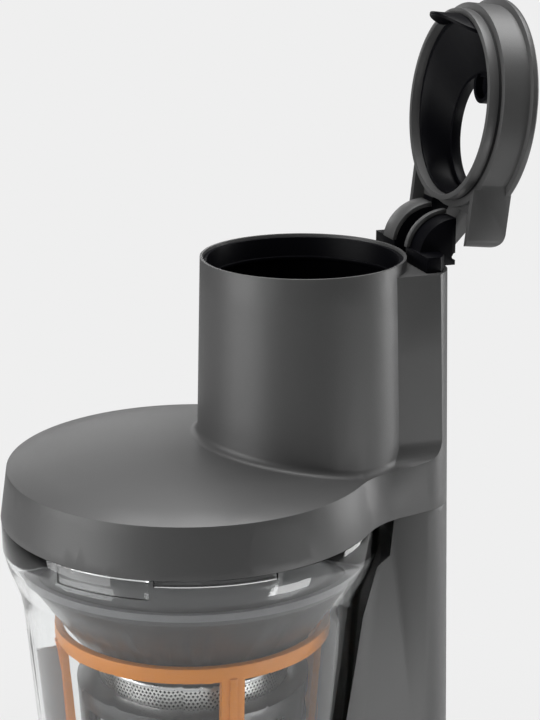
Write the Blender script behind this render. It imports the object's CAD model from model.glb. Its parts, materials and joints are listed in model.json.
# Cold press juicer: finishes, rounded edges and the perforated strainer sheet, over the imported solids.
# All sizes are in metres.

import json
from math import atan2, pi, radians

import bpy
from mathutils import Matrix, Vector

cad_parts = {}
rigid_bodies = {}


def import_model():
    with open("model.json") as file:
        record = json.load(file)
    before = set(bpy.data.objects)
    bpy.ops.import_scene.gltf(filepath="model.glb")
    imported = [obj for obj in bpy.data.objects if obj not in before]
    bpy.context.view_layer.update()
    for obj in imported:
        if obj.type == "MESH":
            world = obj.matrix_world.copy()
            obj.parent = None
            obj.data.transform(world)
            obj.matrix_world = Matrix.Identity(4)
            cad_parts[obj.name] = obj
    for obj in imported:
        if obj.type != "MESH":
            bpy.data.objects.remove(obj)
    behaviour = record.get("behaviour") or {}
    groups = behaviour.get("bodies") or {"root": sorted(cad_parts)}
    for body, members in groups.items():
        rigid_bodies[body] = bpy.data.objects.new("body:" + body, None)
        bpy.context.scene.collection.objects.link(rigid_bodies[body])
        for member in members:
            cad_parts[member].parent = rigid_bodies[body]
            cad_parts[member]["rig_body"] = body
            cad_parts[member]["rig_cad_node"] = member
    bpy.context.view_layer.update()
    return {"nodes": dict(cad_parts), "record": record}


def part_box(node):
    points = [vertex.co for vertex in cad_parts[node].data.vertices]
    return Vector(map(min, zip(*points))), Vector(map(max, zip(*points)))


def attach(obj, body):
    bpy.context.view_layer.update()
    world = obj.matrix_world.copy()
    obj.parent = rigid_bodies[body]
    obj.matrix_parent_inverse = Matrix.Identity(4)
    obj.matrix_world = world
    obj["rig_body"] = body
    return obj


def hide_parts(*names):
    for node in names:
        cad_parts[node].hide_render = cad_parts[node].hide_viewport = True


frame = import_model()
nodes = frame["nodes"]


# ---- shader maths ------------------------------------------------------------------
class Signal:
    """A value in a finish; arithmetic on it adds Math nodes."""

    def __init__(self, recipe, socket):
        self.recipe = recipe
        self.socket = socket

    def math(self, operation, *others, swapped=False):
        terms = [self, *others]
        if swapped:
            terms = terms[::-1]
        return self.recipe.node("Math", {"operation": operation}, dict(enumerate(terms)))

    def __add__(self, other):
        return self.math("ADD", other)

    __radd__ = __add__

    def __sub__(self, other):
        return self.math("SUBTRACT", other)

    def __rsub__(self, other):
        return self.math("SUBTRACT", other, swapped=True)

    def __mul__(self, other):
        return self.math("MULTIPLY", other)

    __rmul__ = __mul__

    def larger(self, other):
        return self.math("MAXIMUM", other)

    def sine(self):
        return self.math("SINE")

    def smooth(self, low, high):
        """0 below low, 1 above high, with a soft step between them."""
        values = {"Value": self, "From Min": low, "From Max": high}
        return self.recipe.node("MapRange", {"interpolation_type": "SMOOTHSTEP"}, values)


class Recipe:
    """A tree of shader nodes in which one method makes every node."""

    def __init__(self, tree):
        self.tree = tree

    def feed(self, socket, value):
        if isinstance(value, Signal):
            self.tree.links.new(value.socket, socket)
        else:
            socket.default_value = value

    def node(self, kind, settings=None, values=None, output=0):
        made = self.tree.nodes.new("ShaderNode" + kind)
        for key, value in (settings or {}).items():
            setattr(made, key, value)
        for key, value in (values or {}).items():
            self.feed(made.inputs[key], value)
        return Signal(self, made.outputs[output])

    def ray(self, *kinds):
        """1 for rays of any of these kinds, else 0."""
        signals = [self.node("LightPath", output=f"Is {kind} Ray") for kind in kinds]
        total = signals[0]
        for signal in signals[1:]:
            total = total.larger(signal)
        return total


class Finish(Recipe):
    """One procedural material on a Principled shader."""

    def __init__(self, name, **fixed):
        self.material = bpy.data.materials.new(name)
        self.material.use_nodes = True
        super().__init__(self.material.node_tree)
        self.shader = self.tree.nodes["Principled BSDF"]
        self.set(**fixed)

    def set(self, **values):
        for key, value in values.items():
            self.feed(self.shader.inputs[key.replace("_", " ").title().replace("Ior", "IOR")], value)

    def place(self):
        return self.node("TexCoord", output="Object")

    def along(self, axis):
        return self.node("SeparateXYZ", values={0: self.place()}, output=axis)

    def noise(self, scale, detail=3.0):
        """Cloudy noise from 0 to 1, with this many cells to the metre."""
        return self.node("TexNoise", values={"Vector": self.place(), "Scale": scale, "Detail": detail})

    def mix(self, share, first, second):
        return self.node("Mix", {"data_type": "RGBA"}, {0: share, 6: first, 7: second}, output=2)

    def bump(self, height, strength, depth):
        self.set(normal=self.node("Bump", values={"Strength": strength, "Distance": depth, "Height": height}))


# ---- finishes ----------------------------------------------------------------------
def rgb(red, green, blue):
    """A colour written in screen values from 0 to 255."""
    def linear(value):
        share = value / 255
        return share / 12.92 if share <= 0.04045 else ((share + 0.055) / 1.055) ** 2.4
    return linear(red), linear(green), linear(blue), 1.0


def shade(colour, factor):
    return tuple(factor * channel for channel in colour[:3]) + (1.0,)


# cells of noise to the metre
fine_grain = 2600.0
coarse_grain = 1100.0
tone_drift = 14.0
polish_marks = 700.0
handling_marks = 30.0
metal_marks = 260.0
clear_gloss = 60.0
clear_waves = 45.0
ring_wave = 9000.0              # radians to the metre: a ring every 0.7 mm

# how deep the relief goes
grain_depth = 0.00014
polish_depth = 0.00005
ring_depth = 0.00003
clear_wave_depth = 0.0004


def grained(name, colour, roughness):
    """Spark-eroded moulded plastic: a fine even grain with a faint drift in tone and gloss."""
    finish = Finish(name, specular_ior_level=0.5)
    fine = finish.noise(fine_grain, 2.0)
    coarse = finish.noise(coarse_grain)
    drift = finish.noise(tone_drift, 2.0)
    finish.set(base_color=finish.mix(fine * 0.6 + drift * 0.4, shade(colour, 0.84), shade(colour, 1.14)),
               roughness=roughness + (drift - 0.5) * 0.06 + (fine - 0.5) * 0.08)
    finish.bump(fine * 0.6 + coarse * 0.4, 0.5, grain_depth)
    return finish


def smooth_plastic(name, colour, roughness, coat=0.0, gloss=0.5):
    """Polished or satin moulded plastic with faint handling marks."""
    finish = Finish(name, coat_roughness=0.12, specular_ior_level=gloss)
    drift = finish.noise(handling_marks)
    fine = finish.noise(polish_marks, 2.0)
    finish.set(base_color=finish.mix(drift, shade(colour, 0.92), shade(colour, 1.04)), coat_weight=coat,
               roughness=roughness + (drift - 0.5) * 0.08 + (fine - 0.5) * 0.04)
    finish.bump(fine, 0.08, polish_depth)
    return finish


def turned_steel(name, colour, roughness=0.3):
    """Turned or drawn metal with fine rings."""
    finish = Finish(name, metallic=1.0)
    rings = (finish.along("Z") * ring_wave).sine() * 0.5 + 0.5
    drift = finish.noise(metal_marks, 4.0)
    finish.set(base_color=finish.mix(drift, shade(colour, 0.82), colour),
               roughness=roughness + (drift - 0.5) * 0.2)
    finish.bump(rings * 0.5 + drift * 0.5, 0.1, ring_depth)
    return finish


def clear_plastic(name):
    """Clear moulded plastic, with the slight waves that a mould leaves in its walls."""
    finish = Finish(name, base_color=(0.97, 0.98, 0.98, 1.0), transmission_weight=1.0, ior=1.49)
    finish.set(roughness=0.012 + finish.noise(clear_gloss) * 0.016)
    finish.bump(finish.noise(clear_waves, 2.0), 0.03, clear_wave_depth)
    return finish


finish_of_slot = {
    "housing": grained("grained_dark_grey", rgb(76, 76, 76), 0.42),
    "black": smooth_plastic("smooth_black", rgb(7, 7, 11), 0.42, gloss=0.09),
    "frame_grey": smooth_plastic("smooth_dark_grey", rgb(60, 60, 61), 0.3, coat=0.2),
    "orange": smooth_plastic("orange_plastic", rgb(224, 134, 6), 0.42, coat=0.06),
    "steel": turned_steel("turned_steel", rgb(205, 205, 205)),
    "mesh": turned_steel("perforated_steel", rgb(226, 225, 223), 0.36),
    "seal": smooth_plastic("soft_grey_rubber", rgb(120, 120, 122), 0.6),
    "rubber": grained("soft_black_rubber", rgb(24, 24, 25), 0.8),
    "gear": smooth_plastic("natural_nylon", rgb(222, 218, 206), 0.45),
    "zinc": turned_steel("cast_alloy", rgb(170, 171, 174), 0.45),
    "core": turned_steel("core_plates", rgb(96, 97, 100), 0.5),
    "copper": turned_steel("winding_wire", rgb(190, 120, 70), 0.35),
    "board": smooth_plastic("board_green", rgb(34, 94, 60), 0.4),
    "clear": clear_plastic("clear_plastic"),
}
slot_of_node = {entry["node"]: entry["material_slot"] for entry in frame["record"]["subparts"]}


# ---- working on meshes --------------------------------------------------------------
def only(piece):
    bpy.ops.object.select_all(action="DESELECT")
    piece.select_set(True)
    bpy.context.view_layer.objects.active = piece


def apply(piece, name, kind, **settings):
    """Adds a modifier to the piece and applies it."""
    only(piece)
    modifier = piece.modifiers.new(name, kind)
    for key, value in settings.items():
        setattr(modifier, key, value)
    bpy.ops.object.modifier_apply(modifier=modifier.name)


def pick(piece, kind, wanted):
    """Selects what wanted accepts of the piece's vertices, edges or faces, and stays in edit mode."""
    bpy.ops.object.mode_set(mode="EDIT")
    bpy.ops.mesh.select_mode(type=kind)
    bpy.ops.mesh.select_all(action="DESELECT")
    bpy.ops.object.mode_set(mode="OBJECT")
    members = {"VERT": piece.data.vertices, "EDGE": piece.data.edges, "FACE": piece.data.polygons}
    for member in members[kind]:
        member.select = wanted(member)
    bpy.ops.object.mode_set(mode="EDIT")


def wear(piece, finish):
    piece.data.materials.clear()
    piece.data.materials.append(finish.material)


def stand_for(piece, node):
    """The piece takes this node's place: its finish, its slot and the body that it moves with."""
    wear(piece, finish_of_slot[slot_of_node[node]])
    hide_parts(node)
    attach(piece, nodes[node]["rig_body"])


# ---- mouldings ----------------------------------------------------------------------
edge_radius = 0.0004
edge_segments = 2
sharp_angle = radians(30.0)     # what bends more than this is an edge, and is rounded
weld_distance = 0.000002
flat_angle = radians(0.2)

moulded_nodes = (
    "drum_lid", "motor_housing", "flip_ring", "juice_bowl", "lid_funnel", "wiper_cage", "flip_liner",
    "feed_chute", "hinge_block", "spout_cap", "control_dial", "strainer_frame", "hinge_barrel",
    "arm_insert", "latch_tongue", "strainer_rim",
)


def moulding(node):
    """A moulding as it leaves the mould: the solid's own surface with rounded edges."""
    piece = nodes[node].copy()
    piece.data = nodes[node].data.copy()
    piece.parent = None
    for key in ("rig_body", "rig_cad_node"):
        if key in piece:
            del piece[key]
    piece.name = node + "_moulding"
    bpy.context.scene.collection.objects.link(piece)
    only(piece)
    bpy.ops.object.mode_set(mode="EDIT")
    bpy.ops.mesh.select_all(action="SELECT")
    bpy.ops.mesh.remove_doubles(threshold=weld_distance)
    bpy.ops.mesh.dissolve_limited(angle_limit=flat_angle)
    bpy.ops.mesh.customdata_custom_splitnormals_clear()
    bpy.ops.object.mode_set(mode="OBJECT")
    apply(piece, "edge_radius", "BEVEL", width=edge_radius, segments=edge_segments, limit_method="ANGLE",
          angle_limit=sharp_angle, use_clamp_overlap=True, harden_normals=False)
    bpy.ops.object.shade_smooth_by_angle(angle=sharp_angle)
    stand_for(piece, node)


# ---- strainer sheet -------------------------------------------------------------------
hole_pitch = 0.002
hole_reach = 0.00076            # from the middle of a hole to its corners
hole_area = 2.0 * hole_reach ** 2
sheet_thickness = 0.0004
sheet_clearance = 0.00005       # keeps the sheet inside the solid that it stands for


def perforated_sleeve():
    """The strainer's sheet: a sleeve with staggered holes all over, rolled from thin steel."""
    low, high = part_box("strainer_mesh")
    radius = (high.x - low.x) / 2 - sheet_clearance
    height = high.z - low.z
    columns = 2 * round(2 * pi * radius / hole_pitch)
    rows = round(height / (hole_pitch * 3 ** 0.5 / 2))
    rounding_nudge = 0.25       # columns that lie between two whole numbers all round up

    bpy.ops.object.select_all(action="DESELECT")
    bpy.ops.mesh.primitive_cylinder_add(vertices=columns, radius=radius, depth=height, end_fill_type="NOTHING",
                                        location=(0.0, 0.0, (low.z + high.z) / 2))
    sleeve = bpy.context.active_object
    sleeve.name = "perforated_sleeve"
    bpy.ops.object.transform_apply(location=True, rotation=True, scale=True)

    def upright(edge):
        levels = [sleeve.data.vertices[index].co.z for index in edge.vertices]
        return abs(levels[0] - levels[1]) > height / 2

    def hole_middle(vertex):
        column = round(atan2(vertex.co.y, vertex.co.x) / (2 * pi) * columns + rounding_nudge)
        row = round((vertex.co.z - low.z) / (height / rows))
        return 0 < row < rows and (column + row) % 2 == 0

    def hole(face):
        return len(face.vertices) == 4 and face.area < 1.5 * hole_area

    pick(sleeve, "EDGE", upright)
    bpy.ops.mesh.subdivide(number_cuts=rows - 1)
    pick(sleeve, "VERT", hole_middle)
    bpy.ops.mesh.bevel(offset=hole_reach, segments=1, affect="VERTICES")
    pick(sleeve, "FACE", hole)
    bpy.ops.mesh.delete(type="FACE")
    bpy.ops.object.mode_set(mode="OBJECT")
    apply(sleeve, "sheet", "SOLIDIFY", thickness=sheet_thickness, offset=-1.0)
    bpy.ops.object.shade_smooth_by_angle(angle=sharp_angle)
    stand_for(sleeve, "strainer_mesh")


for name, node in nodes.items():
    wear(node, finish_of_slot[slot_of_node[name]])
for name in moulded_nodes:
    moulding(name)
perforated_sleeve()


# ---- floor, light, camera ------------------------------------------------------------
backdrop = rgb(239, 239, 239)
floor_size = 30.0
shadow_reach = 0.15             # up to here the floor's own paint and the shadow show most
plain_reach = 0.65              # from here on the floor has the backdrop's colour
least_glow = 0.4
room_strength = 0.1
middle = (0.0, 0.0, 0.35)       # of the juicer, where the large lights aim


def studio_floor():
    """A plain painted floor that keeps the shadow near the juicer and fades into the backdrop."""
    bpy.ops.object.select_all(action="DESELECT")
    bpy.ops.mesh.primitive_grid_add(x_subdivisions=8, y_subdivisions=8, size=floor_size,
                                    location=(0.0, 0.0, 0.0))
    floor = bpy.context.active_object
    floor.name = "studio_floor"
    finish = Finish("studio_floor", roughness=0.9, base_color=rgb(203, 203, 203))
    glow = finish.node("Emission", values={"Color": backdrop})
    paint = Signal(finish, finish.shader.outputs[0])
    reach = finish.node("VectorMath", {"operation": "LENGTH"}, {0: finish.place()}, output="Value")
    glow_share = reach.smooth(shadow_reach, plain_reach) * (1.0 - least_glow) + least_glow
    share = finish.ray("Camera", "Transmission") * glow_share
    surface = finish.node("MixShader", values={0: share, 1: paint, 2: glow})
    finish.feed(finish.tree.nodes["Material Output"].inputs["Surface"], surface)
    wear(floor, finish)


def studio_room():
    """A dim room that the camera sees in the backdrop's colour, also through the clear bowl."""
    world = bpy.data.worlds.new("studio")
    bpy.context.scene.world = world
    world.use_nodes = True
    room = Recipe(world.node_tree)
    dim = room.node("Background", values={"Color": backdrop, "Strength": room_strength})
    bright = room.node("Background", values={"Color": backdrop, "Strength": 1.0})
    dome = room.node("MixShader", values={0: room.ray("Camera", "Transmission"), 1: dim, 2: bright})
    room.feed(world.node_tree.nodes["World Output"].inputs["Surface"], dome)


def softbox(name, place, aim, size, power):
    lamp = bpy.data.lights.new(name, "AREA")
    lamp.shape = "RECTANGLE"
    lamp.size, lamp.size_y = size
    lamp.energy = power
    holder = bpy.data.objects.new(name, lamp)
    bpy.context.scene.collection.objects.link(holder)
    holder.location = place
    holder.visible_camera = False
    holder.rotation_euler = (Vector(aim) - Vector(place)).to_track_quat("-Z", "Y").to_euler()


def studio_camera():
    """A long lens on the juicer's right, a little in front of it and higher than the open flip lid."""
    view = bpy.data.cameras.new("studio_camera")
    view.lens = 90.0
    view.sensor_width = 36.0
    camera = bpy.data.objects.new("studio_camera", view)
    bpy.context.scene.collection.objects.link(camera)
    look_down = 16.32
    heading = 71.79
    camera.location = (0.7580, -0.2108, 0.6532)
    camera.rotation_euler = (radians(90.0 - look_down), 0.0, radians(heading))
    bpy.context.scene.camera = camera


studio_floor()
studio_room()
# left, right and rear are as the camera sees them
softbox("overhead", place=(-0.2, 0.2, 1.9), aim=middle, size=(1.4, 1.2), power=37.5)
softbox("rear_box", place=(-1.7, 0.1, 0.72), aim=(0.0, 0.0, 0.38), size=(1.0, 0.2), power=2.1)
softbox("left_box", place=(0.15, -1.3, 0.55), aim=middle, size=(1.1, 1.2), power=15.5)
softbox("right_box", place=(0.0, 1.45, 0.6), aim=(0.0, 0.0, 0.4), size=(0.45, 1.2), power=11.0)
softbox("low_box", place=(0.56, 0.5, 0.05), aim=(0.04, 0.1, 0.1), size=(0.35, 0.14), power=1.15)
studio_camera()
bpy.context.scene.view_settings.view_transform = "Standard"
